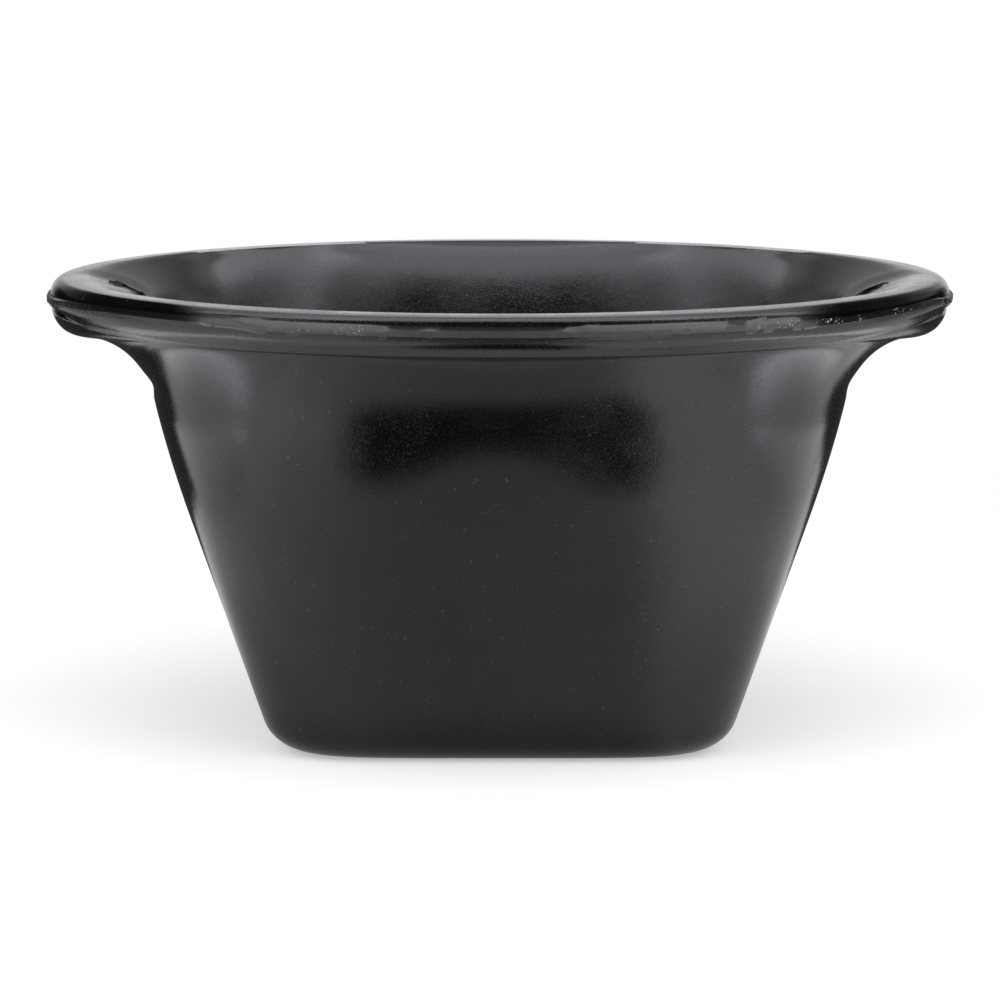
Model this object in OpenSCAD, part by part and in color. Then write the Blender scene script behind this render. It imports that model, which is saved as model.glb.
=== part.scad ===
// Oval rubber feed tub, moulded in one shot of rubber.
// It stands on z = 0 with its centre over the origin and its long side along x.
// The skin is one loft: rings from the middle of the base, up the outside, over the lip
// and down the inside to the middle of the floor.

/* [Overall size] */
// Length over the lip, from end to end
tub_l = 400; // [370:2:460]
// Width over the lip, from front to back
tub_w = 328; // [316:2:400]
// Height from the ground to the crest of the lip
tub_h = 203; // [195:1:250]

/* [Base] */
// Length of the base, to the corner that the fillet rounds off
base_l = 201; // [170:1:230]
// Width of the base, to the corner that the fillet rounds off
base_w = 161; // [130:1:190]
// Size of the fillet between the base and the walls
base_fillet = 12.5; // [6:0.5:25]
// How far the base reaches into its corners: 0.71 is an ellipse, 1 a rectangle
base_corner_share = 0.88; // [0.75:0.005:0.93]

/* [Walls] */
// Distance from the ends of the lip in to the shoulder, the corner where the outer wall turns upright
shoulder_end_in = 55.5; // [50:0.5:65]
// Distance from the sides of the lip in to the shoulder
shoulder_side_in = 33; // [28:0.5:44]
// Height of the shoulder
shoulder_h = 134; // [110:1:150]
// How far the shoulder reaches into its corners
shoulder_corner_share = 0.85; // [0.75:0.005:0.9]
// Height below the shoulder at which the outer wall starts to turn
turn_drop = 28; // [10:1:45]
// Distance from the ends of the lip in to the neck, where the wall meets the cove under the lip
neck_end_in = 43.5; // [36:0.5:50]
// Distance from the sides of the lip in to the neck
neck_side_in = 26; // [19:0.5:32]
// How far the neck reaches into its corners
neck_corner_share = 0.805; // [0.74:0.005:0.85]
// Thickness of the walls
wall = 8; // [5:0.5:12]
// Thickness of the floor
floor_t = 9; // [5:0.5:14]
// Size of the fillet between the floor and the walls inside
floor_fillet = 16; // [6:1:26]

/* [Mouth] */
// Height at which the inner walls begin to flare out
flare_h = 120; // [90:1:150]
// Width of the end flanges, from the end of the lip to where they turn down into the tub
mouth_end_in = 50; // [44:0.5:65]
// Distance from the sides of the lip in to where they turn down into the tub
mouth_side_in = 28; // [22:0.5:36]
// How far the end flanges dip below the crest of the lip
end_dip = 8.5; // [3:0.5:12]
// How far the sides dip below the crest of the lip
side_dip = 4; // [1:0.5:8]
// How far the mouth reaches into its corners
mouth_corner_share = 0.79; // [0.72:0.005:0.85]

/* [Lip] */
// Distance from the outer edge of the lip in to its crest
crest_in = 17.5; // [12:0.5:22]
// Height of the crest above the parting line
crest_rise = 6.5; // [4:0.5:9]
// Depth of the lip's band below the parting line, along the front and back
band_drop = 9; // [6:0.5:12]
// Depth of the lip's band below the parting line, at the ends
end_band_drop = 3; // [3:0.5:10]
// How far the band tapers in on its way down
band_in = 3; // [1.5:0.5:6]
// How far up the band turns upright: 0 at its lower edge, 1 at the flash
band_turn_share = 0.6; // [0.2:0.05:0.8]
// Depth of the underside below the band, along the front and back
under_drop = 2; // [1:0.5:5]
// Distance from the outer edge in to the bottom of the underside, front and back
under_in = 14; // [10:0.5:16]
// How far the bottom of the underside reaches into its corners
under_corner_share = 0.73; // [0.71:0.005:0.76]
// Height of the trimmed flash on the parting line
flash_t = 3; // [1:0.5:5]
// How far the trimmed flash stands out from the band
flash_out = 1; // [0.5:0.25:1.75]
// Distance from the outer edge in to the lip's face above the flash
face_in = 2; // [1:0.25:4]

/* [End grips] */
// Depth of each end grip below the parting line
grip_drop = 17.5; // [14:0.5:24]
// Distance from the end of the lip in to the bottom of the grip
grip_in = 15.5; // [13:0.5:26]
// Width over which each grip fades into the lip
grip_w = 230; // [180:5:330]
// Diameter of the rope hole in each end flange
rope_hole_d = 14; // [8:0.5:18]
// Distance from the end of the lip in to the middle of the rope hole
rope_hole_in = 35; // [30:0.5:40]

/* [Hidden] */

// Facets round each ring, and steps along each curve of the section
segments = 84;
fillet_steps = 4;
wall_steps = 4;
waist_steps = 5;
cove_steps = 7;
grip_steps = 5;
band_steps = 4;
crest_steps = 5;
flare_steps = 8;

// Pull of a bend's corner: the root of a half gives an elliptic arc, 1 a parabola, more hugs the corner
arc_pull_share = sqrt(0.5);
parabola_pull_share = 1;
band_pull_share = 2.5;
crest_pull_share = 5;
flare_pull_share = 3;

// An ellipse reaches this far into its corners
rim_corner_share = sqrt(0.5);

// Lengths and widths at the shoulder, the neck and the mouth
shoulder_l = tub_l - 2 * shoulder_end_in;
shoulder_w = tub_w - 2 * shoulder_side_in;
neck_l = tub_l - 2 * neck_end_in;
neck_w = tub_w - 2 * neck_side_in;
mouth_l = tub_l - 2 * mouth_end_in;
mouth_w = tub_w - 2 * mouth_side_in;

// Outward lean of the walls for each unit of height, at the ends and at the sides
lean_l_share = (shoulder_l - base_l) / 2 / shoulder_h;
lean_w_share = (shoulder_w - base_w) / 2 / shoulder_h;
wall_l = wall * sqrt(1 + pow(lean_l_share, 2));
wall_w = wall * sqrt(1 + pow(lean_w_share, 2));

// Heights of the lip's lines
parting_z = tub_h - crest_rise;
band_z = parting_z - band_drop;
end_band_z = parting_z - end_band_drop;
under_side_z = band_z - under_drop;
under_end_z = parting_z - grip_drop;

// Cuts run this far past the faces that they open
overrun = 5;

// A station is one ring of the skin:
// half length, half width, reach into the corners, height at the sides, height at the ends
function corner_share_at(z) =
    base_corner_share + (shoulder_corner_share - base_corner_share) * z / shoulder_h;
function outer_wall(z) =
    [base_l / 2 + lean_l_share * z, base_w / 2 + lean_w_share * z, corner_share_at(z), z, z];
function inner_wall(z) = outer_wall(z) - [wall_l, wall_w, 0, 0, 0];
function shrunk(station, by) = station - [by, by, 0, 0, 0];
function lip(inset, z) =
    [tub_l / 2 - inset, tub_w / 2 - inset, rim_corner_share, z, z];

// Stations along a curve that leaves one station and meets another, bending at a corner.
// The first station isn't repeated.
function bend(start, corner, end, pull_share, steps) = [
    for (step = [1:steps])
        let (u = step / steps, a = pow(1 - u, 2), b = 2 * u * (1 - u) * pull_share, c = pow(u, 2))
            (a * start + b * corner + c * end) / (a + b + c)
];

// Stations spaced evenly from one to another. The first isn't repeated.
function straight(start, end, steps) = [
    for (step = [1:steps]) start + (end - start) * step / steps
];

// Up the outside: base fillet, wall, waist, cove and grip
base_corner = outer_wall(0);
base_edge = shrunk(base_corner, base_fillet);
wall_foot = outer_wall(base_fillet);
wall_turn = outer_wall(shoulder_h - turn_drop);
shoulder = outer_wall(shoulder_h);
neck = [neck_l / 2, neck_w / 2, neck_corner_share, under_side_z, under_end_z];
waist = (shoulder + neck) / 2;
grip_bottom = [
    tub_l / 2 - grip_in, tub_w / 2 - under_in, under_corner_share, under_side_z, under_end_z
];
grip_corner = [
    tub_l / 2 - band_in, tub_w / 2 - band_in, rim_corner_share, under_side_z, under_end_z
];
band_edge = [tub_l / 2 - band_in, tub_w / 2 - band_in, rim_corner_share, band_z, end_band_z];

// Over the lip: the band, flash on the parting line, then the crest
flash_low = lip(flash_out, parting_z - flash_t / 2);
band_turn = [
    flash_low[0],
    flash_low[1],
    rim_corner_share,
    band_z + band_turn_share * (flash_low[3] - band_z),
    end_band_z + band_turn_share * (flash_low[4] - end_band_z)
];
flash_tip_low = lip(0, parting_z - flash_t / 4);
flash_tip_high = lip(0, parting_z + flash_t / 4);
flash_high = lip(face_in, parting_z + flash_t / 2);
crest_corner = lip(face_in, tub_h);
crest = lip(crest_in, tub_h);

// Down the inside: flare, wall and floor fillet
mouth_corner = [mouth_l / 2, mouth_w / 2, mouth_corner_share, tub_h - side_dip, tub_h - end_dip];
inner_shoulder = inner_wall(flare_h);
inner_foot = inner_wall(floor_t + floor_fillet);
floor_corner = inner_wall(floor_t);
floor_edge = shrunk(floor_corner, floor_fillet);

stations = concat(
    [base_edge],
    bend(base_edge, base_corner, wall_foot, arc_pull_share, fillet_steps),
    straight(wall_foot, wall_turn, wall_steps),
    bend(wall_turn, shoulder, waist, parabola_pull_share, waist_steps),
    bend(waist, neck, grip_bottom, arc_pull_share, cove_steps),
    bend(grip_bottom, grip_corner, band_edge, arc_pull_share, grip_steps),
    bend(band_edge, band_turn, flash_low, band_pull_share, band_steps),
    [flash_tip_low, flash_tip_high, flash_high],
    bend(flash_high, crest_corner, crest, crest_pull_share, crest_steps),
    bend(crest, mouth_corner, inner_shoulder, flare_pull_share, flare_steps),
    straight(inner_shoulder, inner_foot, wall_steps),
    bend(inner_foot, floor_corner, floor_edge, arc_pull_share, fillet_steps)
);

// Distance from the axis to a ring, along one direction: a superellipse
function ring_radius(angle, half_l, half_w, corner_share) =
    let (power = ln(0.5) / ln(corner_share))
        pow(pow(abs(cos(angle)) / half_l, power) + pow(abs(sin(angle)) / half_w, power), -1 / power);

// 1 in the middle of each end, fading to 0 at the edges of the grip
function end_share(y) = pow(max(0, 1 - pow(2 * y / grip_w, 2)), 2);

function ring(station) = [
    for (i = [0:segments - 1])
        let (
            angle = 360 * i / segments,
            r = ring_radius(angle, station[0], station[1], station[2]),
            y = r * sin(angle)
        )
            [r * cos(angle), y, station[3] + (station[4] - station[3]) * end_share(y)]
];

// The skin closes on one point in the middle of the base and one in the middle of the floor
rings = [for (station = stations) ring(station)];
last_ring = len(rings) - 1;
base_middle = len(rings) * segments;
floor_middle = base_middle + 1;

function at(k, i) = k * segments + i % segments;

skin_points = concat([for (r = rings) each r], [[0, 0, 0], [0, 0, floor_t]]);
skin_faces = concat(
    [for (i = [0:segments - 1]) [base_middle, at(0, i), at(0, i + 1)]],
    [
        for (k = [0:last_ring - 1], i = [0:segments - 1])
            each [[at(k, i), at(k + 1, i), at(k + 1, i + 1)], [at(k, i), at(k + 1, i + 1), at(k, i + 1)]]
    ],
    [for (i = [0:segments - 1]) [floor_middle, at(last_ring, i + 1), at(last_ring, i)]]
);

module rope_holes() {
    for (end = [-1, 1])
        translate([end * (tub_l / 2 - rope_hole_in), 0, shoulder_h])
            cylinder(d = rope_hole_d, h = tub_h - shoulder_h + overrun, $fn = 48);
}

module tub() {
    color("#2b2c2f")
        difference() {
            polyhedron(points = skin_points, faces = skin_faces, convexity = 6);
            rope_holes();
        }
}

tub();
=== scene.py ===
import math

import bpy
import numpy as np
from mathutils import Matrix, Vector, noise


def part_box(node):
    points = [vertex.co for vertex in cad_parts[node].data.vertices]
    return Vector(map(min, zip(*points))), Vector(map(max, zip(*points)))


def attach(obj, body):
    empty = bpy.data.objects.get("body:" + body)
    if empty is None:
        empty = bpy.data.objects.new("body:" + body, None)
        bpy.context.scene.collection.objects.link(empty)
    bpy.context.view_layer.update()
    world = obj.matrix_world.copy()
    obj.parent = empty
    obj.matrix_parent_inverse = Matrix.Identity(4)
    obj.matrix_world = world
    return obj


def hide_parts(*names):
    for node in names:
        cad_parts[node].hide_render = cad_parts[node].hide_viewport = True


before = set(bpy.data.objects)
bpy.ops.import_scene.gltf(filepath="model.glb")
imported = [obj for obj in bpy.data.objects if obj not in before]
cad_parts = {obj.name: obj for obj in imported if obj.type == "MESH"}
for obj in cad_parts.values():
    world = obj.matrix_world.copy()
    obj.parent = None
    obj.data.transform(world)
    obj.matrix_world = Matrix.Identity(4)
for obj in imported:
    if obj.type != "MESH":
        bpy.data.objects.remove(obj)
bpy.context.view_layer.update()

MM = 0.001

# Sizes of the tub in millimetres, as in the part
tub_low, tub_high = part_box("tub")
TUB_L = (tub_high[0] - tub_low[0]) / MM
TUB_W = (tub_high[1] - tub_low[1]) / MM
TUB_H = (tub_high[2] - tub_low[2]) / MM
BASE_L = 201
BASE_W = 161
BASE_FILLET = 12.5
BASE_CORNER_SHARE = 0.88
SHOULDER_END_IN = 55.5
SHOULDER_SIDE_IN = 33
SHOULDER_H = 134
SHOULDER_CORNER_SHARE = 0.85
TURN_DROP = 28
NECK_END_IN = 43.5
NECK_SIDE_IN = 26
NECK_CORNER_SHARE = 0.805
WALL = 8
FLOOR_T = 9
FLOOR_FILLET = 16
FLARE_H = 120
MOUTH_END_IN = 50
MOUTH_SIDE_IN = 28
END_DIP = 8.5
SIDE_DIP = 4
MOUTH_CORNER_SHARE = 0.79
CREST_IN = 17.5
CREST_RISE = 6.5
BAND_DROP = 9
END_BAND_DROP = 3
BAND_IN = 3
UNDER_DROP = 2
UNDER_IN = 14
UNDER_CORNER_SHARE = 0.73
FLASH_T = 3
FLASH_OUT = 1
FACE_IN = 2
GRIP_DROP = 17.5
GRIP_IN = 15.5
GRIP_W = 230
ROPE_HOLE_D = 14
ROPE_HOLE_IN = 35

# Shares that are this script's own: how far up the band turns upright, and how much of the
# flash's height its tip keeps
BAND_TURN_SHARE = 0.5
FLASH_TIP_SHARE = 0.8

# Fineness of the skin
SEGMENTS = 800
FILLET_STEPS = 9
WALL_STEPS = 22
WAIST_STEPS = 14
COVE_STEPS = 20
GRIP_STEPS = 14
BAND_STEPS = 12
CREST_STEPS = 18
FLARE_STEPS = 30
CAP_STEPS = 7

# Pull of a bend's corner, and an ellipse's reach into its corners
ARC_PULL = math.sqrt(0.5)
PARABOLA_PULL = 1
BAND_PULL = 2.5
CREST_PULL = 5
FLARE_PULL = 3
RIM_CORNER_SHARE = math.sqrt(0.5)

SHOULDER_L = TUB_L - 2 * SHOULDER_END_IN
SHOULDER_W = TUB_W - 2 * SHOULDER_SIDE_IN
NECK_L = TUB_L - 2 * NECK_END_IN
NECK_W = TUB_W - 2 * NECK_SIDE_IN
MOUTH_L = TUB_L - 2 * MOUTH_END_IN
MOUTH_W = TUB_W - 2 * MOUTH_SIDE_IN
LEAN_L = (SHOULDER_L - BASE_L) / 2 / SHOULDER_H
LEAN_W = (SHOULDER_W - BASE_W) / 2 / SHOULDER_H
WALL_L = WALL * math.sqrt(1 + LEAN_L ** 2)
WALL_W = WALL * math.sqrt(1 + LEAN_W ** 2)
PARTING_Z = TUB_H - CREST_RISE
FLASH_LOW_Z = PARTING_Z - FLASH_T / 2
FLASH_HIGH_Z = PARTING_Z + FLASH_T / 2
BAND_Z = PARTING_Z - BAND_DROP
END_BAND_Z = PARTING_Z - END_BAND_DROP
BAND_TURN_Z = BAND_Z + BAND_TURN_SHARE * (FLASH_LOW_Z - BAND_Z)
END_BAND_TURN_Z = END_BAND_Z + BAND_TURN_SHARE * (FLASH_LOW_Z - END_BAND_Z)
UNDER_SIDE_Z = BAND_Z - UNDER_DROP
UNDER_END_Z = PARTING_Z - GRIP_DROP


# A station is one ring of the skin: half length, half width, reach into the corners,
# height at the sides, height at the ends
def station(*values):
    return np.array(values, dtype=float)


def outer_wall(z):
    share = BASE_CORNER_SHARE + (SHOULDER_CORNER_SHARE - BASE_CORNER_SHARE) * z / SHOULDER_H
    return station(BASE_L / 2 + LEAN_L * z, BASE_W / 2 + LEAN_W * z, share, z, z)


def inner_wall(z):
    return outer_wall(z) - station(WALL_L, WALL_W, 0, 0, 0)


def shrunk(ring, by):
    return ring - station(by, by, 0, 0, 0)


def lip(inset, z_side, z_end=None):
    """A ring at a distance in from the lip's edge, level unless its ends have their own height."""
    if z_end is None:
        z_end = z_side
    return station(TUB_L / 2 - inset, TUB_W / 2 - inset, RIM_CORNER_SHARE, z_side, z_end)


def bend(start, corner, end, pull, steps):
    """Stations along a curve that bends at a corner. The first station isn't repeated."""
    rings = []
    for step in range(1, steps + 1):
        u = step / steps
        a = (1 - u) ** 2
        b = 2 * u * (1 - u) * pull
        c = u ** 2
        rings.append((a * start + b * corner + c * end) / (a + b + c))
    return rings


def straight(start, end, steps):
    """Stations spaced evenly from one to another. The first isn't repeated."""
    return [start + (end - start) * step / steps for step in range(1, steps + 1)]


def cap(edge, steps):
    """Stations from near the middle of a flat face out to its edge, without the edge."""
    scale = station(1, 1, 0, 0, 0)
    keep = station(0, 0, 1, 1, 1)
    return [edge * (keep + scale * step / steps) for step in range(1, steps)]


# How far from the shoulder to the neck the waist lies, lower along the sides than at the ends
WAIST_SHARES = station(0.5, 0.42, 0.46, 0.42, 0.5)

BAND_EDGE = lip(BAND_IN, BAND_Z, END_BAND_Z)
FLASH_HIGH = lip(FACE_IN, FLASH_HIGH_Z)


def outer_stations():
    """Up the outside: the base and its fillet, the wall, waist, cove and grip."""
    base_corner = outer_wall(0)
    base_edge = shrunk(base_corner, BASE_FILLET)
    wall_foot = outer_wall(BASE_FILLET)
    wall_turn = outer_wall(SHOULDER_H - TURN_DROP)
    shoulder = outer_wall(SHOULDER_H)
    neck = station(NECK_L / 2, NECK_W / 2, NECK_CORNER_SHARE, UNDER_SIDE_Z, UNDER_END_Z)
    waist = shoulder + WAIST_SHARES * (neck - shoulder)
    bottom_l = TUB_L / 2 - GRIP_IN
    bottom_w = TUB_W / 2 - UNDER_IN
    bottom = station(bottom_l, bottom_w, UNDER_CORNER_SHARE, UNDER_SIDE_Z, UNDER_END_Z)
    grip_corner = lip(BAND_IN, UNDER_SIDE_Z, UNDER_END_Z)
    return (
        cap(base_edge, CAP_STEPS)
        + [base_edge]
        + bend(base_edge, base_corner, wall_foot, ARC_PULL, FILLET_STEPS)
        + straight(wall_foot, wall_turn, WALL_STEPS)
        + bend(wall_turn, shoulder, waist, PARABOLA_PULL, WAIST_STEPS)
        + bend(waist, neck, bottom, ARC_PULL, COVE_STEPS)
        + bend(bottom, grip_corner, BAND_EDGE, ARC_PULL, GRIP_STEPS)
    )


def band_stations():
    """The lip's band: it leans out from its lower edge, then stands upright below the flash."""
    turn = lip(FLASH_OUT, BAND_TURN_Z, END_BAND_TURN_Z)
    return bend(BAND_EDGE, turn, lip(FLASH_OUT, FLASH_LOW_Z), BAND_PULL, BAND_STEPS)


def flash_stations():
    """The lower and upper edge of the flash's tip, and its root on the lip's face."""
    half_tip = FLASH_TIP_SHARE * FLASH_T / 2
    return [lip(0, PARTING_Z - half_tip), lip(0, PARTING_Z + half_tip), FLASH_HIGH]


def inner_stations():
    """Over the crest and down the inside: the flare, the wall, the floor's fillet and the floor."""
    crest_corner = lip(FACE_IN, TUB_H)
    crest = lip(CREST_IN, TUB_H)
    mouth_z = (TUB_H - SIDE_DIP, TUB_H - END_DIP)
    mouth_corner = station(MOUTH_L / 2, MOUTH_W / 2, MOUTH_CORNER_SHARE, *mouth_z)
    inner_shoulder = inner_wall(FLARE_H)
    inner_foot = inner_wall(FLOOR_T + FLOOR_FILLET)
    floor_corner = inner_wall(FLOOR_T)
    floor_edge = shrunk(floor_corner, FLOOR_FILLET)
    return (
        bend(FLASH_HIGH, crest_corner, crest, CREST_PULL, CREST_STEPS)
        + bend(crest, mouth_corner, inner_shoulder, FLARE_PULL, FLARE_STEPS)
        + straight(inner_shoulder, inner_foot, WALL_STEPS)
        + bend(inner_foot, floor_corner, floor_edge, ARC_PULL, FILLET_STEPS)
        + cap(floor_edge, CAP_STEPS)[::-1]
    )


ANGLES = np.linspace(0, 2 * math.pi, SEGMENTS, endpoint=False)


def ring_points(ring):
    """The points of a station in metres, on a superellipse."""
    half_l, half_w, share, z_side, z_end = ring
    power = math.log(0.5) / math.log(share)
    cos, sin = np.cos(ANGLES), np.sin(ANGLES)
    r = ((np.abs(cos) / half_l) ** power + (np.abs(sin) / half_w) ** power) ** (-1 / power)
    y = r * sin
    end_share = np.clip(1 - (2 * y / GRIP_W) ** 2, 0, None) ** 2
    return np.stack([r * cos, y, z_side + (z_end - z_side) * end_share], axis=1) * MM


def wobble(points, size, seed):
    """Smooth noise from -1 to 1 at points in metres, with waves of a size in millimetres."""
    scale = 1 / (size * MM)
    offset = Vector((seed, 2 * seed, 3 * seed))
    return np.array([noise.noise(Vector(p) * scale + offset) for p in points])


def smooth(value, low, high):
    """0 at the low end and 1 at the high end, with a smooth change between."""
    u = np.clip((value - low) / (high - low), 0, 1)
    return u * u * (3 - 2 * u)


def between(value, start, full, fade, end):
    """1 from full to fade, and 0 before the start and after the end."""
    return smooth(value, start, full) - smooth(value, fade, end)


def pushed_out(points, by):
    """Points moved away from the axis, each by its own distance in millimetres."""
    away = points * [1, 1, 0]
    return points + away / np.linalg.norm(away, axis=1, keepdims=True) * (by * MM)[:, None]


def lifted(points, by):
    """Points moved up, each by its own distance in millimetres."""
    return points + np.outer(by * MM, [0, 0, 1])


# Faults of the moulding, in millimetres. A value with _X, _Y or _Z gives where a fault sets in
# along that axis, or where it sets in and fades out again.

# Walls that wave a little, and that dent beside the middle of each long side
WAVE_HEIGHT = 0.3
WAVE_SIZE = 70
WAVE_SEED = 3
DENT = 1.7
DENT_X = (4, 50, 75, 112)
DENT_Z = (108, 148, 148, 186)


def waved(points):
    return pushed_out(points, -WAVE_HEIGHT * (1 + wobble(points, WAVE_SIZE, WAVE_SEED)) / 2)


def dented(points):
    x, _, z = points.T / MM
    return pushed_out(points, -DENT * between(np.abs(x), *DENT_X) * between(z, *DENT_Z))


# End grips a little fuller than the loft, and the neck below each a little tighter
SWELL_LEFT = 1.3
SWELL_RIGHT = 0.6
SWELL_X = (150, 190)
SWELL_Z = (175, 183, 189, 194)
PINCH_LEFT = 1.6
PINCH_RIGHT = 0.8
PINCH_X = (138, 154)
PINCH_Z = (155, 162, 162, 169)


def swollen(points):
    x, _, z = points.T / MM
    swell = np.where(x < 0, SWELL_LEFT, SWELL_RIGHT) * smooth(np.abs(x), *SWELL_X)
    pinch = np.where(x < 0, PINCH_LEFT, PINCH_RIGHT) * smooth(np.abs(x), *PINCH_X)
    return pushed_out(points, swell * between(z, *SWELL_Z) - pinch * between(z, *PINCH_Z))


# A parting line that climbs near the ends of the front, and falls at the very ends
LEFT_RISE = 2.3
LEFT_RISE_X = (-192, -160, -112, -92)
RIGHT_RISE = 1.1
RIGHT_RISE_X = (135, 168, 188, 199)
END_FALL = 2.2
END_FALL_X = (184, 199)


def climbed(points):
    x, y, z = points.T / MM
    rise = LEFT_RISE * between(x, *LEFT_RISE_X) + RIGHT_RISE * between(x, *RIGHT_RISE_X)
    fall = END_FALL * smooth(np.abs(x), *END_FALL_X)
    below = np.clip((z - BAND_Z) / BAND_DROP, 0, 1)
    above = np.clip((TUB_H - z) / CREST_RISE, 0, 1)
    return lifted(points, (rise * (y < 0) - fall) * np.minimum(below, above))


# A round shoulder near the ends, which leads from the crest down to the flash
END_ROUND_IN = 7.8
END_ROUND_X = (95, 160)


def rounded(points, inset):
    """Points at a distance in from the lip's edge, lowered to the round shoulder."""
    x, _, z = points.T / MM
    out = min(1, max(0, (END_ROUND_IN - inset) / (END_ROUND_IN - FACE_IN)))
    drop = (TUB_H - FLASH_HIGH_Z) * (1 - math.sqrt(1 - out ** 2))
    return lifted(points, -np.clip(z - TUB_H + drop, 0, None) * smooth(np.abs(x), *END_ROUND_X))


# A shallow dish in the end flange round each rope hole
DISH = 0.9
DISH_REACH = (9, 26)


def dished(points):
    x, y, z = points.T / MM
    away = np.hypot(np.abs(x) - (TUB_L / 2 - ROPE_HOLE_IN), y)
    return lifted(points, -DISH * (1 - smooth(away, *DISH_REACH)) * (z > SHOULDER_H))


# Flash that a knife left ragged: chipped along its tip, and cut flush near the ends of the front
CHIP_SIZE = 5
CHIP_SEED = 5
CHIP_MEAN = 0.5
CHIP_SWING = 0.5
CHIP_FINE_SIZE = 2
CHIP_FINE_SEED = 7
CHIP_FINE_SWING = 0.35
CHIP_SHARE = 0.6
STRETCH_SIZE = 45
STRETCH_SEED = 11
STRETCH_MEAN = 0.5
STRETCH_SWING = 0.9
STRETCH_SHARE = 0.4
CUT_MOST = 0.9
FLUSH_LEFT_X = (-114, -130)
FLUSH_RIGHT_X = (122, 136)
FLUSH_Y = (-30, -45)


def flush(points):
    """1 where the flash is cut away, 0 where it stands."""
    x, y, _ = points.T / MM
    return (smooth(x, *FLUSH_LEFT_X) + smooth(x, *FLUSH_RIGHT_X)) * smooth(y, *FLUSH_Y)


def trimmed(points):
    """The tip of the flash, chipped in short and long stretches and cut flush."""
    chip = CHIP_MEAN + CHIP_SWING * wobble(points, CHIP_SIZE, CHIP_SEED)
    chip = chip + CHIP_FINE_SWING * wobble(points, CHIP_FINE_SIZE, CHIP_FINE_SEED)
    stretch = STRETCH_MEAN + STRETCH_SWING * wobble(points, STRETCH_SIZE, STRETCH_SEED)
    cut = FLASH_OUT * np.clip(CHIP_SHARE * chip + STRETCH_SHARE * stretch, 0, CUT_MOST)
    return pushed_out(points, -cut - flush(points) * (FLASH_OUT - cut))


# The root of the flash climbs the lip's face in torn tongues, and in lands that were cut to a slope.
# A land is the middle of a stretch of the front, its half length and its height.
TONGUE_SIZE = 16
TONGUE_SEED = 13
TONGUE_FROM = 0.42
TONGUE_HEIGHT = 2.2
LANDS = [(-76, 40, 1.7), (60, 42, 1.7), (111, 14, 1.7)]


def tongued(points):
    x, y, _ = points.T / MM
    torn = np.clip(wobble(points, TONGUE_SIZE, TONGUE_SEED) - TONGUE_FROM, 0, None)
    rise = torn / (1 - TONGUE_FROM) * TONGUE_HEIGHT * (1 - flush(points))
    for middle, half, height in LANDS:
        near = 1 - smooth(np.abs(x - middle), half / 2, half)
        rise = rise + near * (y < 0) * height
    return lifted(points, rise)


# Pale flecks in the cut flash: some left of the middle of the front, more toward its right end
FLECK_LEFT_X = (-104, -95, -60, -46)
FLECK_LEFT_SHARE = 0.6
FLECK_RIGHT_X = (92, 112)


def flecked(points):
    """How many pale flecks the flash holds."""
    x, y, _ = points.T / MM
    left = FLECK_LEFT_SHARE * between(x, *FLECK_LEFT_X)
    return (left + smooth(x, *FLECK_RIGHT_X)) * (y < 0)


# Painted shade on the shoulders: gloss lowered to stand in for the dark they reflect, less at the
# very ends and at the right
LIP_SHADE_IN = (12, 5)
LIP_SHADE_X = (112, 142)
LIP_SHADE_END_X = (162, 192)
LIP_SHADE_END_LOSS = 0.4
LIP_SHADE_RIGHT_LOSS = 0.22
LIP_SHADE_TIP_SHARE = 0.85


def lip_shaded(points, inset):
    """How much painted shade, as lowered gloss, the rubber has at points a distance in from the lip's
    edge.
    """
    x = points[:, 0] / MM
    along = smooth(np.abs(x), *LIP_SHADE_X) * (1 - LIP_SHADE_END_LOSS * smooth(np.abs(x), *LIP_SHADE_END_X))
    share = smooth(inset, *LIP_SHADE_IN) * along * np.where(x > 0, 1 - LIP_SHADE_RIGHT_LOSS, 1)
    return 1 - (1 - share) ** 2


# Share of the cut flash's finish that its root has
ROOT_TRIM = 0.6


def skin_rings():
    """Every ring of the skin: its points, and their shares of cut finish, flecks and painted shade.
    """
    none = np.zeros(SEGMENTS)
    rings = []
    for ring in outer_stations():
        rings.append((waved(swollen(dented(ring_points(ring)))), none, none, none))
    for ring in band_stations():
        rings.append((swollen(climbed(ring_points(ring))), none, none, none))
    tip_low, tip_high, root = [climbed(ring_points(ring)) for ring in flash_stations()]
    cut = 1 - flush(tip_low)
    for tip in (tip_low, tip_high):
        rings.append((trimmed(tip), cut, flecked(tip_low), LIP_SHADE_TIP_SHARE * lip_shaded(tip, 0)))
    rings.append((tongued(root), ROOT_TRIM * cut, none, lip_shaded(root, FACE_IN)))
    for ring in inner_stations():
        inset = TUB_L / 2 - ring[0]
        points = ring_points(ring)
        shaped = climbed(rounded(dished(points), inset))
        rings.append((shaped, none, none, lip_shaded(points, inset)))
    return rings


def new_mesh(name, points, faces):
    mesh = bpy.data.meshes.new(name)
    mesh.from_pydata(points, [], faces)
    mesh.update()
    return mesh


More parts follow.
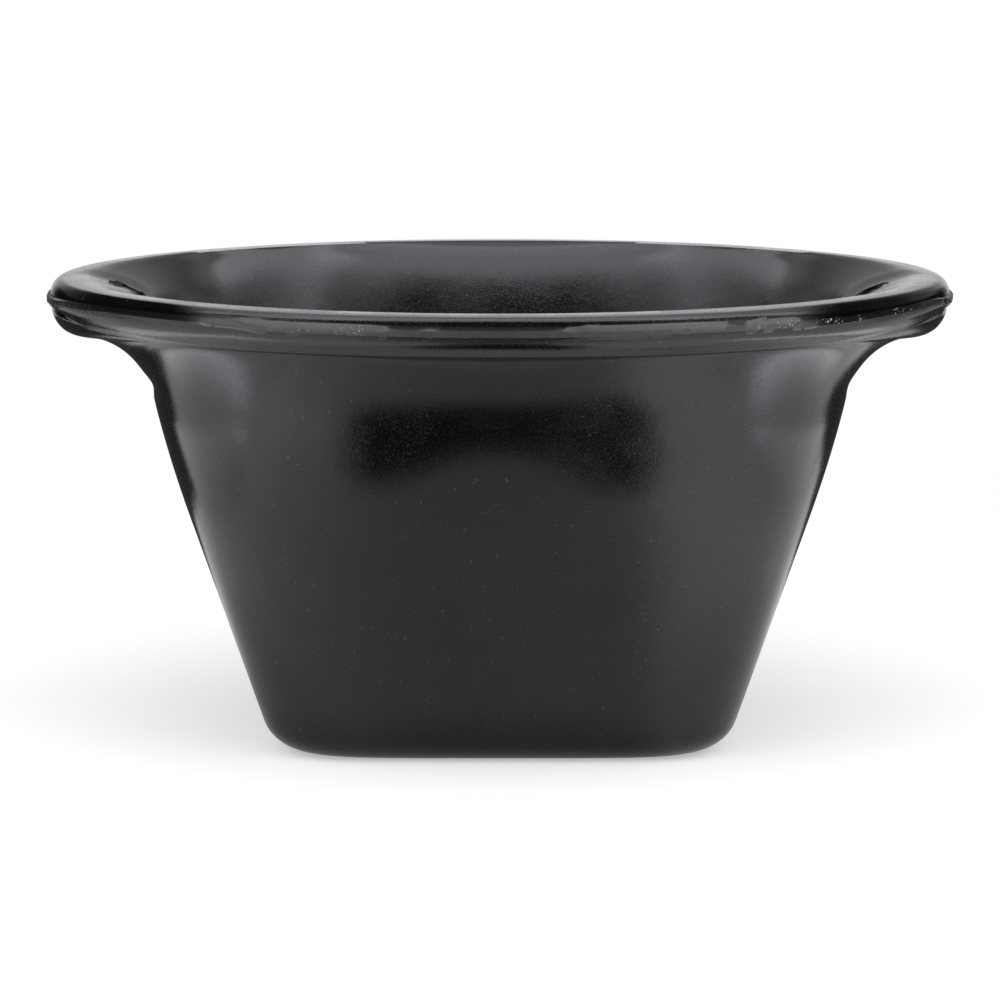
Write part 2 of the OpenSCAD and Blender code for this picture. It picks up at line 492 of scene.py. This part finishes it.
def skin_mesh():
    """The skin, closed on one point in the middle of the base and one in the middle of the floor."""
    rings = skin_rings()
    count = len(rings)
    middles = [[0, 0, 0], [0, 0, FLOOR_T * MM]]
    points = np.concatenate([ring[0] for ring in rings] + [middles])
    around = np.arange(SEGMENTS)
    after = (around + 1) % SEGMENTS
    faces = []
    for k in range(count - 1):
        low, high = k * SEGMENTS, (k + 1) * SEGMENTS
        faces += np.stack([low + around, low + after, high + after, high + around], axis=1).tolist()
    base_middle = count * SEGMENTS
    floor_middle = base_middle + 1
    last = (count - 1) * SEGMENTS
    steps = list(zip(around.tolist(), after.tolist()))
    faces += [[base_middle, b, a] for a, b in steps]
    faces += [[floor_middle, last + a, last + b] for a, b in steps]
    mesh = new_mesh("tub_skin", points.tolist(), faces)
    for place, name in enumerate(("trim", "fleck", "lip_shade"), 1):
        shares = np.concatenate([ring[place] for ring in rings] + [[0, 0]])
        mesh.attributes.new(name, "FLOAT", "POINT").data.foreach_set("value", shares)
    return mesh


def add_object(name, mesh):
    obj = bpy.data.objects.new(name, mesh)
    bpy.context.scene.collection.objects.link(obj)
    return obj


# Rope holes, each with a torn fringe of rubber round its rim that is taller toward the front
HOLE_SEGMENTS = 96
HOLE_ANGLES = np.linspace(0, 2 * math.pi, HOLE_SEGMENTS, endpoint=False)
HOLE_RADIUS = ROPE_HOLE_D / 2
HOLE_TOP_Z = 1.1 * TUB_H
FRINGE_T = 1.1
FRINGE_IN = FRINGE_T / 4
FRINGE_LEFT_H = 3.2
FRINGE_RIGHT_H = 1.9
FRINGE_INNER_SHARE = 0.8
FRINGE_SINK = 0.8
FRINGE_ROOT_SINK = 1.6
FRINGE_SIZE = 3.5
FRINGE_SEED = 17
FRINGE_MEAN = 0.85
FRINGE_SWING = 0.6
FRINGE_LEAST = 0.1


def circle_x(side, radius):
    return side * (TUB_L / 2 - ROPE_HOLE_IN) + radius * np.cos(HOLE_ANGLES)


def circle(side, radius, z):
    """Points round a rope hole, with a radius and each point's height in millimetres."""
    return np.stack([circle_x(side, radius), radius * np.sin(HOLE_ANGLES), z], axis=1) * MM


def ring_mesh(name, rings, closed):
    """A tube through rings of equal length, closed onto its first ring or capped at both ends."""
    count = len(rings[0])
    last = len(rings) - 1
    pairs = [(k, k + 1) for k in range(last)]
    faces = []
    if closed:
        pairs.append((last, 0))
    else:
        faces.append(list(range(count))[::-1])
        faces.append([last * count + i for i in range(count)])
    for low, high in pairs:
        for i in range(count):
            after = (i + 1) % count
            corners = [(low, i), (low, after), (high, after), (high, i)]
            faces.append([ring * count + place for ring, place in corners])
    return new_mesh(name, np.concatenate(rings).tolist(), faces)


def flange_z(x):
    """Height of the end flange's top in millimetres, at a distance along the tub."""
    profile = np.array([[ring[0], ring[4]] for ring in inner_stations()])
    order = np.argsort(profile[:, 0])
    return np.interp(np.abs(x), profile[order, 0], profile[order, 1])


def hole_mesh(side):
    heights = [np.full(HOLE_SEGMENTS, z) for z in (SHOULDER_H, HOLE_TOP_Z)]
    return ring_mesh("hole", [circle(side, HOLE_RADIUS, z) for z in heights], False)


def fringe_mesh(side):
    rim = flange_z(circle_x(side, HOLE_RADIUS)) - DISH
    ragged = wobble(circle(side, HOLE_RADIUS, rim), FRINGE_SIZE, FRINGE_SEED)
    torn = FRINGE_MEAN + FRINGE_SWING * ragged
    near = 0.5 - 0.5 * np.sin(HOLE_ANGLES)
    tallest = FRINGE_LEFT_H if side < 0 else FRINGE_RIGHT_H
    tall = tallest * np.clip(torn * near, FRINGE_LEAST, 1)
    foot = circle(side, HOLE_RADIUS + FRINGE_T, rim - FRINGE_SINK)
    tip = circle(side, HOLE_RADIUS + FRINGE_T, rim + tall)
    inner = circle(side, HOLE_RADIUS - FRINGE_IN, rim + FRINGE_INNER_SHARE * tall)
    root = circle(side, HOLE_RADIUS - FRINGE_IN, rim - FRINGE_ROOT_SINK)
    return ring_mesh("fringe", [foot, tip, inner, root], True)


def add_boolean(obj, operation, mesh):
    cutter = add_object(mesh.name, mesh)
    boolean = obj.modifiers.new(mesh.name, "BOOLEAN")
    boolean.operation = operation
    boolean.solver = "MANIFOLD"
    boolean.object = cutter
    return cutter


def with_holes(tub):
    """Cut the rope holes and raise their fringes, then keep the result as the tub's own mesh."""
    cutters = []
    for side in (-1, 1):
        cutters.append(add_boolean(tub, "DIFFERENCE", hole_mesh(side)))
        cutters.append(add_boolean(tub, "UNION", fringe_mesh(side)))
    shaped = tub.evaluated_get(bpy.context.evaluated_depsgraph_get())
    mesh = bpy.data.meshes.new_from_object(shaped)
    tub.modifiers.clear()
    tub.data = mesh
    for cutter in cutters:
        bpy.data.meshes.remove(cutter.data)
    return mesh


WHITE = (1, 1, 1, 1)


class Nodes:
    """Short forms for building one node tree."""

    def __init__(self, tree):
        self.tree = tree
        self.coord = self.add("ShaderNodeTexCoord").outputs["Object"]

    def add(self, kind, **settings):
        node = self.tree.nodes.new(kind)
        for name, value in settings.items():
            setattr(node, name, value)
        return node

    def feed(self, socket, value):
        if isinstance(value, bpy.types.NodeSocket):
            self.tree.links.new(value, socket)
        else:
            socket.default_value = value

    def surface(self, shader, kind="ShaderNodeOutputMaterial"):
        self.feed(self.add(kind).inputs["Surface"], shader)

    def place(self, axis):
        split = self.add("ShaderNodeSeparateXYZ")
        self.feed(split.inputs[0], self.coord)
        return split.outputs[axis]

    def attribute(self, name):
        return self.add("ShaderNodeAttribute", attribute_name=name).outputs["Fac"]

    def noise(self, size_mm, detail=2, distortion=0):
        node = self.add("ShaderNodeTexNoise")
        self.feed(node.inputs["Vector"], self.coord)
        self.feed(node.inputs["Scale"], 1 / (size_mm * MM))
        self.feed(node.inputs["Detail"], detail)
        self.feed(node.inputs["Distortion"], distortion)
        return node.outputs["Fac"]

    def ramp(self, value, low, high, to_low=0.0, to_high=1.0):
        node = self.add("ShaderNodeMapRange", interpolation_type="SMOOTHSTEP")
        names = ("From Min", "From Max", "To Min", "To Max")
        for name, number in zip(names, (low, high, to_low, to_high)):
            self.feed(node.inputs[name], number)
        self.feed(node.inputs["Value"], value)
        return node.outputs["Result"]

    def math(self, operation, a, b=0):
        node = self.add("ShaderNodeMath", operation=operation)
        self.feed(node.inputs[0], a)
        self.feed(node.inputs[1], b)
        return node.outputs[0]

    def mix(self, share, a, b):
        node = self.add("ShaderNodeMix", data_type="RGBA")
        self.feed(node.inputs["Factor"], share)
        self.feed(node.inputs["A"], a)
        self.feed(node.inputs["B"], b)
        return node.outputs["Result"]

    def bump(self, height, depth_mm, normal=None):
        node = self.add("ShaderNodeBump")
        self.feed(node.inputs["Distance"], depth_mm * MM)
        self.feed(node.inputs["Height"], height)
        if normal is not None:
            self.feed(node.inputs["Normal"], normal)
        return node.outputs["Normal"]

    def matt(self, colour):
        node = self.add("ShaderNodeBsdfDiffuse")
        node.inputs["Color"].default_value = colour
        return node.outputs[0]

    def glow(self, strength, colour=WHITE):
        node = self.add("ShaderNodeEmission")
        self.feed(node.inputs["Strength"], strength)
        node.inputs["Color"].default_value = colour
        return node.outputs[0]

    def clear(self):
        return self.add("ShaderNodeBsdfTransparent").outputs[0]

    def blend(self, share, a, b):
        node = self.add("ShaderNodeMixShader")
        self.feed(node.inputs["Fac"], share)
        self.feed(node.inputs[1], a)
        self.feed(node.inputs[2], b)
        return node.outputs[0]

    def both(self, a, b):
        node = self.add("ShaderNodeAddShader")
        self.feed(node.inputs[0], a)
        self.feed(node.inputs[1], b)
        return node.outputs[0]


def new_material(name):
    """An empty material, and the short forms for its nodes."""
    material = bpy.data.materials.new(name)
    material.use_nodes = True
    material.node_tree.nodes.clear()
    return material, Nodes(material.node_tree)


# Rubber: its colours, then the sizes of its patterns in millimetres with the part of each noise's
# range over which the pattern sets in
RUBBER_BLACK = (0.0018, 0.0019, 0.0023, 1)
RUBBER_BLOOM = (0.006, 0.0063, 0.0075, 1)
TRIM_GREY = (0.03, 0.03, 0.031, 1)
SPECK_GREY = (0.16, 0.16, 0.16, 1)
FIBRE_GREY = (0.03, 0.03, 0.032, 1)
FLECK_WHITE = (0.45, 0.45, 0.44, 1)
GLOSS_TINT = (0.92, 0.93, 1.0, 1)
RUBBER_IOR = 1.6
GLOSS_LEVEL = 0.5
CLOUD_SIZE = 110
CLOUD_RANGE = (0.35, 0.7)
MOTTLE_SIZE = 18
MOTTLE_RANGE = (0.3, 0.7)
MOTTLE_LEAST = 0.6
GRAIN_SIZE = 0.5
GRAIN_RANGE = (0.54, 0.7)
GRAIN_DEPTH = 0.04
PEEL_SIZE = 4.5
PEEL_DEPTH = 0.04
SPECK_SIZE = 1.6
SPECK_RANGE = (0.81, 0.85)
SPECK_SHARE = 0.25
FIBRE_SIZE = 9
FIBRE_CURL = 1.2
FIBRE_RANGE = (0.012, 0.004)
FIBRE_PATCH_SIZE = 14
FIBRE_PATCH_RANGE = (0.62, 0.68)
FIBRE_SHARE = 0.6
FLECK_SIZE = 0.9
FLECK_RANGE = (0.62, 0.68)
FLECK_PATCH_SIZE = 12
FLECK_PATCH_RANGE = (0.48, 0.6)
ROUGH_BARE = 0.13
ROUGH_BLOOM = 0.18
ROUGH_MOTTLE = 0.015
ROUGH_TRIM = 0.3
ROUGH_GRAIN = 0.16


def fibre_marks(n):
    """Thin curling lines, in patches."""
    curl = n.noise(FIBRE_SIZE, detail=0, distortion=FIBRE_CURL)
    near_line = n.math("ABSOLUTE", n.math("SUBTRACT", curl, 0.5))
    patch = n.ramp(n.noise(FIBRE_PATCH_SIZE, detail=0), *FIBRE_PATCH_RANGE)
    return n.math("MULTIPLY", n.ramp(near_line, *FIBRE_RANGE), patch)


def pale_flecks(n):
    """Small flecks, in patches, where the skin's fleck attribute allows them."""
    fleck = n.ramp(n.noise(FLECK_SIZE, detail=1), *FLECK_RANGE)
    patch = n.ramp(n.noise(FLECK_PATCH_SIZE, detail=2), *FLECK_PATCH_RANGE)
    return n.math("MULTIPLY", n.math("MULTIPLY", fleck, patch), n.attribute("fleck"))


def rubber_material():
    """Black moulded rubber: satin, finely grained, with a cloudy bloom, specks and fibre marks."""
    material, n = new_material("rubber")
    trim = n.attribute("trim")
    cloud = n.ramp(n.noise(CLOUD_SIZE, detail=4), *CLOUD_RANGE)
    mottle = n.ramp(n.noise(MOTTLE_SIZE, detail=4), *MOTTLE_RANGE)
    bloom = n.math("MULTIPLY", cloud, n.ramp(mottle, 0, 1, MOTTLE_LEAST, 1))
    grain = n.noise(GRAIN_SIZE, detail=1)
    peel = n.noise(PEEL_SIZE, detail=3)
    speck = n.ramp(n.noise(SPECK_SIZE, detail=0), *SPECK_RANGE)
    colour = n.mix(bloom, RUBBER_BLACK, RUBBER_BLOOM)
    colour = n.mix(n.math("MULTIPLY", speck, SPECK_SHARE), colour, SPECK_GREY)
    colour = n.mix(n.math("MULTIPLY", fibre_marks(n), FIBRE_SHARE), colour, FIBRE_GREY)
    colour = n.mix(trim, colour, TRIM_GREY)
    colour = n.mix(pale_flecks(n), colour, FLECK_WHITE)
    rough = n.ramp(bloom, 0, 1, ROUGH_BARE, ROUGH_BLOOM)
    rough = n.math("ADD", rough, n.ramp(mottle, 0, 1, -ROUGH_MOTTLE, ROUGH_MOTTLE))
    rough = n.math("ADD", rough, n.math("MULTIPLY", trim, ROUGH_TRIM))
    rough = n.math("ADD", rough, n.ramp(grain, *GRAIN_RANGE, 0, ROUGH_GRAIN))
    shader = n.add("ShaderNodeBsdfPrincipled")
    shader.inputs["IOR"].default_value = RUBBER_IOR
    shader.inputs["Specular Tint"].default_value = GLOSS_TINT
    # Gloss lowered by the skin's shade attribute: painted shade on the shoulders near the ends
    gloss = n.ramp(n.attribute("lip_shade"), 0, 1, GLOSS_LEVEL, 0)
    n.feed(shader.inputs["Specular IOR Level"], gloss)
    n.feed(shader.inputs["Base Color"], colour)
    n.feed(shader.inputs["Roughness"], rough)
    n.feed(shader.inputs["Normal"], n.bump(grain, GRAIN_DEPTH, n.bump(peel, PEEL_DEPTH)))
    n.surface(shader.outputs[0])
    return material


SHARP_ANGLE = math.radians(50)


def add_tub():
    mesh = skin_mesh()
    mesh.materials.append(rubber_material())
    tub = add_object("rubber_tub", mesh)
    mesh = with_holes(tub)
    mesh.shade_smooth()
    mesh.set_sharp_from_angle(angle=SHARP_ANGLE)
    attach(tub, "root")
    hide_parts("tub")


# Stage, in metres: pale paper, a white surround, softboxes, and cards that only the gloss sees
PAPER_SIDE = 1.2
PAPER_FRONT = -0.9
PAPER_BACK = 0.5
PAPER_GREY = (0.7, 0.7, 0.7, 1)
PAPER_LIFT = 0.42
ROOM_LEVEL = 0.45


def seen_rays(n):
    """1 for rays that see the background: the camera's, and those of gloss and glass."""
    path = n.add("ShaderNodeLightPath")
    shiny = n.math("MAXIMUM", path.outputs["Is Glossy Ray"], path.outputs["Is Transmission Ray"])
    return n.math("MAXIMUM", path.outputs["Is Camera Ray"], shiny)


def paper_material():
    """Pale paper, lifted to white where it is seen."""
    material, n = new_material("paper")
    lift = n.glow(n.math("MULTIPLY", seen_rays(n), PAPER_LIFT))
    n.surface(n.both(n.matt(PAPER_GREY), lift))
    return material


def polygon_mesh(name, points):
    """One flat face."""
    return new_mesh(name, points, [range(len(points))])


def strip_mesh(name, points):
    """A strip of faces between two lines. The points alternate between the lines."""
    faces = [(k, k + 1, k + 3, k + 2) for k in range(0, len(points) - 2, 2)]
    return new_mesh(name, points, faces)


def flat_mesh(name, outline, z):
    return polygon_mesh(name, [(x, y, z) for x, y in outline])


def rectangle(x_low, x_high, y_low, y_high):
    return [(x_low, y_low), (x_high, y_low), (x_high, y_high), (x_low, y_high)]


def add_floor():
    outline = rectangle(-PAPER_SIDE, PAPER_SIDE, PAPER_FRONT, PAPER_BACK)
    floor = add_object("floor", flat_mesh("floor", outline, 0))
    floor.data.materials.append(paper_material())


def add_world():
    """White where it is seen, a dim room for the rest."""
    world = bpy.data.worlds.new("studio")
    bpy.context.scene.world = world
    world.use_nodes = True
    world.node_tree.nodes.clear()
    n = Nodes(world.node_tree)
    levels = []
    for strength in (ROOM_LEVEL, 1):
        background = n.add("ShaderNodeBackground")
        background.inputs["Color"].default_value = WHITE
        background.inputs["Strength"].default_value = strength
        levels.append(background.outputs[0])
    n.surface(n.blend(seen_rays(n), *levels), "ShaderNodeOutputWorld")


def toward(azimuth, elevation):
    """The direction at an azimuth, 0 in front and 90 at the right, and an elevation."""
    az, el = math.radians(azimuth), math.radians(elevation)
    return Vector((math.sin(az) * math.cos(el), -math.cos(az) * math.cos(el), math.sin(el)))


# Softboxes: name, azimuth, elevation, distance, width, height and radiance
LIGHT_TARGET = Vector((0, 0, 0.1))
SOFTBOXES = [
    ("front_softbox", 0, 47, 1.7, 2.6, 1.4, 1.05),
    ("top_softbox", 0, 89, 1.6, 1.6, 1.2, 1.2),
    ("left_softbox", -70, 30, 1.6, 2.3, 0.95, 1.3),
    ("right_softbox", 70, 30, 1.6, 2.3, 0.95, 1.5),
]


def add_softbox(name, azimuth, elevation, distance, wide, tall, radiance):
    away = toward(azimuth, elevation)
    data = bpy.data.lights.new(name, "AREA")
    data.shape = "RECTANGLE"
    data.size = wide
    data.size_y = tall
    data.energy = radiance * math.pi * wide * tall
    obj = add_object(name, data)
    obj.location = LIGHT_TARGET + away * distance
    obj.rotation_euler = (-away).to_track_quat("-Z", "Y").to_euler()
    obj.visible_camera = False


# The cards that only the gloss sees. Those on the paper lie in layers.
POOL_Z = 0.0002
FLOOR_SHADE_Z = 0.0004
DARK_CARD_Z = 0.0006
CARD_DARK = (0.05, 0.05, 0.05, 1)
CARD_BLACK = (0.002, 0.002, 0.002, 1)


def add_card(mesh, material):
    card = add_object(mesh.name, mesh)
    card.data.materials.append(material)
    card.visible_camera = False
    card.visible_diffuse = False
    card.visible_shadow = False


def card_material(name, colour):
    material, n = new_material(name)
    n.surface(n.matt(colour))
    return material


def graded_material(name, axis, *grade):
    """A glow that changes from one level to another along an axis."""
    material, n = new_material(name)
    n.surface(n.glow(n.ramp(n.place(axis), *grade)))
    return material


# A card of painted shade on the paper, ahead of the tub. It also rings the tub, within an oval, and
# is darker at the contact as painted contact shadow.
FLOOR_SHADE_GREY = (0.49, 0.49, 0.5, 1)
FLOOR_SHADE_CARD = rectangle(-0.6, 0.3, -0.6, 0.2)
SHADE_LEFT_X = (-0.3, 0)
SHADE_RIGHT_X = (0.12, 0.05)
OVAL_REACH = (0.3, 0.2)
OVAL_RANGE = (1.0, 0.55)
OVAL_TURN_X = (0, 0.1)
OVAL_SHARES = (0.9, 0.65)
CONTACT_SHADE_RANGE = (0.44, 0.6)
CONTACT_SHADE_LEVEL = 0.55


def floor_shade_material():
    material, n = new_material("floor_shade")
    x = n.place("X")
    across = n.math("DIVIDE", x, OVAL_REACH[0])
    along = n.math("DIVIDE", n.place("Y"), OVAL_REACH[1])
    squares = n.math("ADD", n.math("MULTIPLY", across, across), n.math("MULTIPLY", along, along))
    away = n.math("SQRT", squares)
    ahead = n.math("MULTIPLY", n.ramp(x, *SHADE_LEFT_X), n.ramp(x, *SHADE_RIGHT_X))
    side_share = n.ramp(x, *OVAL_TURN_X, *OVAL_SHARES)
    around = n.math("MULTIPLY", n.ramp(away, *OVAL_RANGE), side_share)
    # A grey glow for painted shade, darkest at the contact as painted contact shadow
    grey = n.glow(n.ramp(away, *CONTACT_SHADE_RANGE, CONTACT_SHADE_LEVEL, 1), FLOOR_SHADE_GREY)
    n.surface(n.blend(n.math("MAXIMUM", ahead, around), n.clear(), grey))
    return material


# A black card ahead, whose near edge is an arch with two legs, and dark cards behind
BLACK_CARD = [
    (-0.14, -0.9), (-0.135, -0.44), (-0.12, -0.39), (-0.09, -0.335),
    (-0.075, -0.31), (-0.062, -0.31), (-0.05, -0.335), (0, -0.35),
    (0.048, -0.335), (0.058, -0.29), (0.085, -0.295), (0.1, -0.335),
    (0.125, -0.39), (0.135, -0.44), (0.14, -0.9),
]
RIGHT_CARD = [
    (0.05, 0.22), (0.28, 0.22), (0.36, 0.26), (0.5, 0.22), (0.9, 0.3), (0.9, 1.2), (0.05, 1.2),
]
LEFT_CARD = [
    (-0.9, 0.3), (-0.57, 0.19), (-0.49, 0.12), (-0.46, 0.05), (-0.36, 0.03),
    (-0.32, 0.12), (-0.28, 0.22), (-0.05, 0.22), (-0.05, 1.2), (-0.9, 1.2),
]


def add_paper_cards(dark, black):
    # The first card is painted shade on the paper
    add_card(flat_mesh("floor_shade_card", FLOOR_SHADE_CARD, FLOOR_SHADE_Z), floor_shade_material())
    add_card(flat_mesh("black_card", BLACK_CARD, DARK_CARD_Z), black)
    add_card(flat_mesh("right_card", RIGHT_CARD, DARK_CARD_Z), dark)
    add_card(flat_mesh("left_card", LEFT_CARD, DARK_CARD_Z), dark)


# Screens round the set, alike on both sides: azimuth, lowest and highest elevation from the rim
SCREEN_DISTANCE = 1.3
SCREEN_CENTRE = Vector((0, 0, 0.19))
SCREEN_ROUND = [
    (0, -9, 31), (6, -9, 29), (12, -9, 20.5), (20, -9, 15.5), (30, -2, 12), (40, 2, 9.3),
    (50, 2, 7.5), (65, 2, 6), (80, 2, 5.5), (92, -7, 5.5), (110, -7, 8), (130, -7, 11), (150, -7, 11),
]
SCREEN_TURN = [(112, 8, 45), (125, 10, 45), (138, 11, 45), (150, 11, 45)]
SCREEN_BACK = [(150, -9, 45), (165, -9, 45), (180, -9, 45)]
TURN_Y = (0.45, 1.0)
TURN_LEVELS = (1.0, 0.3)
BACK_Z = (0.3, 0.46)
BACK_LEVELS = (1.08, 0.34)


def screen_mesh(name, edge, side):
    rays = [(toward(side * az, low), toward(side * az, high)) for az, low, high in edge]
    return strip_mesh(name, [SCREEN_CENTRE + ray * SCREEN_DISTANCE for pair in rays for ray in pair])


def add_screens(black):
    backdrop = graded_material("back_screen", "Z", *BACK_Z, *BACK_LEVELS)
    turn = graded_material("turn_screen", "Y", *TURN_Y, *TURN_LEVELS)
    for name, side in (("right", 1), ("left", -1)):
        add_card(screen_mesh(name + "_screen", SCREEN_ROUND, side), black)
        add_card(screen_mesh(name + "_turn_screen", SCREEN_TURN, side), turn)
        add_card(screen_mesh(name + "_back_screen", SCREEN_BACK, side), backdrop)


# Pools of lamplight on the paper beside the tub
POOL_NEAR = 0.41
POOL_BRIGHT = 0.44
POOL_FAR = 0.7
POOL_FRONT_Y = (-0.52, -0.33)
POOL_BACK_Y = (0.12, -0.02)
POOLS = [("left_pool", -1, 2.2), ("right_pool", 1, 2.6)]


def pool_material(name, side, level):
    """A pool that is brightest on the side toward the tub."""
    material, n = new_material(name)
    y = n.place("Y")
    inward = n.ramp(n.place("X"), side * POOL_FAR, side * POOL_BRIGHT)
    across = n.math("MULTIPLY", n.math("POWER", inward, 2), level)
    along = n.math("MULTIPLY", n.ramp(y, *POOL_FRONT_Y), n.ramp(y, *POOL_BACK_Y))
    n.surface(n.both(n.clear(), n.glow(n.math("MULTIPLY", across, along))))
    return material


def add_pools():
    for name, side, level in POOLS:
        outline = rectangle(side * POOL_NEAR, side * POOL_FAR, POOL_FRONT_Y[0], POOL_BACK_Y[0])
        add_card(flat_mesh(name, outline, POOL_Z), pool_material(name, side, level))


# Upright fills beside the ends: their outline in y and z, and their levels from low to high
FILL_X = 0.215
FILL_OUTLINE = [
    (-0.2, 0.005), (-0.035, 0.005), (-0.035, 0.125), (-0.11, 0.124), (-0.15, 0.118), (-0.2, 0.105),
]
FILL_Z = (0.05, 0.125)
FILLS = [("left_fill", -1, (1.0, 1.55)), ("right_fill", 1, (1.1, 1.8))]


def add_fills():
    for name, side, levels in FILLS:
        mesh = polygon_mesh(name, [(side * FILL_X, y, z) for y, z in FILL_OUTLINE])
        add_card(mesh, graded_material(name, "Z", *FILL_Z, *levels))


# A level reflector below the front lip, which fades away from the middle. Its width and height are
# in millimetres out from the lip and up from the paper, its turn in degrees to either side.
REFLECTOR_AWAY = (8, 22)
REFLECTOR_Z = 160
REFLECTOR_TURN = 40
REFLECTOR_STEPS = 24
REFLECTOR_FADE_X = (0.135, 0.085)
REFLECTOR_WHITE = (0.9, 0.9, 0.9, 1)


def reflector_mesh():
    points = []
    for turn in np.radians(np.linspace(-REFLECTOR_TURN, REFLECTOR_TURN, REFLECTOR_STEPS)):
        for away in REFLECTOR_AWAY:
            x = (TUB_L / 2 + away) * math.sin(turn)
            y = -(TUB_W / 2 + away) * math.cos(turn)
            points.append((x * MM, y * MM, REFLECTOR_Z * MM))
    return strip_mesh("reflector", points)


def reflector_material():
    material, n = new_material("reflector")
    share = n.ramp(n.math("ABSOLUTE", n.place("X")), *REFLECTOR_FADE_X)
    n.surface(n.blend(share, n.clear(), n.glow(1, REFLECTOR_WHITE)))
    return material


def add_cards():
    dark = card_material("card_dark", CARD_DARK)
    black = card_material("card_black", CARD_BLACK)
    add_paper_cards(dark, black)
    add_screens(black)
    add_pools()
    add_fills()
    add_card(reflector_mesh(), reflector_material())


# Camera, as fitted to the photograph's outline
CAMERA_BACK = 1.5867
CAMERA_Z = 0.3759
CAMERA_PITCH = 0.1712
FOCAL_PIXELS = 3599.4
IMAGE_PIXELS = 1000
SENSOR_MM = 36


def add_camera():
    data = bpy.data.cameras.new("camera")
    data.sensor_width = SENSOR_MM
    data.lens = FOCAL_PIXELS / IMAGE_PIXELS * SENSOR_MM
    obj = add_object("camera", data)
    obj.location = (0, -CAMERA_BACK, CAMERA_Z)
    obj.rotation_euler = (math.pi / 2 - CAMERA_PITCH, 0, 0)
    bpy.context.scene.camera = obj


bpy.context.scene.view_settings.view_transform = "Standard"
add_camera()
add_world()
add_floor()
add_cards()
for softbox in SOFTBOXES:
    add_softbox(*softbox)
add_tub()
